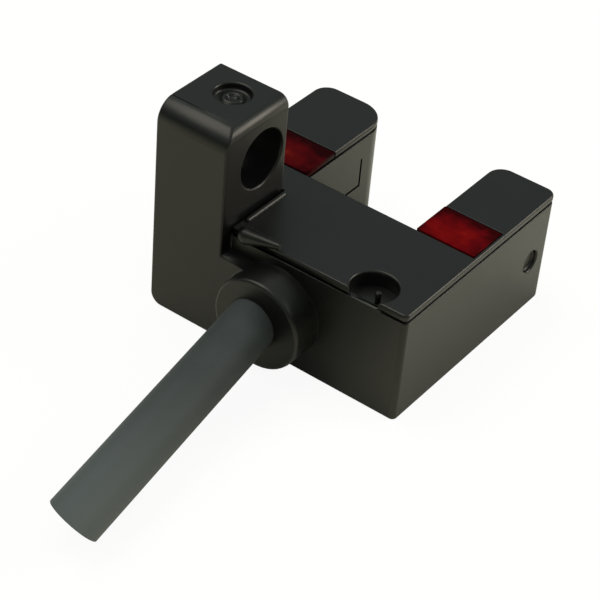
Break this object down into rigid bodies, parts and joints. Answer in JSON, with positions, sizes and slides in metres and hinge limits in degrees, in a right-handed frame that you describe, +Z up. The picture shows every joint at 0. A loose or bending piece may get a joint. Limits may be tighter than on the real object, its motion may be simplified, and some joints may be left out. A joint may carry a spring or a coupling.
{
  "type": "fork sensor",
  "caption": "U-shaped fork sensor: a light barrier whose prongs face each other across a slot, with red indicator windows, a drilled mounting post and a moulded cable outlet.",
  "frame": {"origin": "on the housing's underside, at the middle of its width and of its depth from the collar's rim to the prong tips", "axes": "+Z up from the underside, +Y along the prongs to their tips, +X to the right seen from the cable's side, along the screw hole and across the slot"},
  "size_m": [0.013, 0.0273, 0.0107],
  "materials": {
    "black_plastic": "fine-grained matte moulding",
    "red_window": "clear red, polished",
    "filter_lens": "dark infrared filter, polished",
    "board": "green solder mask",
    "package": "moulded chip package",
    "emitter_body": "tinted clear resin",
    "lamp": "milky resin",
    "ceramic": "fired ceramic",
    "tin": "tinned, bright",
    "copper": "bare copper strand",
    "cable_pvc": "satin grey cable sheath",
    "gland_rubber": "matte black rubber",
    "brown_core": "satin core insulation",
    "black_core": "satin core insulation",
    "blue_core": "satin core insulation",
    "white_core": "satin core insulation"
  },
  "bodies": {
    "root": {"housing": "black_plastic", "top_cover": "black_plastic", "indicator_window_left": "red_window", "indicator_window_right": "red_window", "receiver_lens": "filter_lens", "emitter_lens": "filter_lens", "circuit_board": "board", "receiver": "package", "emitter": "emitter_body", "receiver_leads": "tin", "emitter_leads": "tin", "indicator_led_left": "lamp", "indicator_led_right": "lamp", "control_chip": "package", "output_transistors": "package", "protection_diode": "package", "chip_resistors": "package", "chip_capacitors": "ceramic", "chip_terminals": "tin", "cable_grommet": "gland_rubber", "cable_clamp": "tin", "cable_sheath": "cable_pvc", "core_brown": "brown_core", "core_black": "black_core", "core_blue": "blue_core", "core_white": "white_core", "core_copper": "copper", "solder_joints": "tin"}
  },
  "joints": []
}
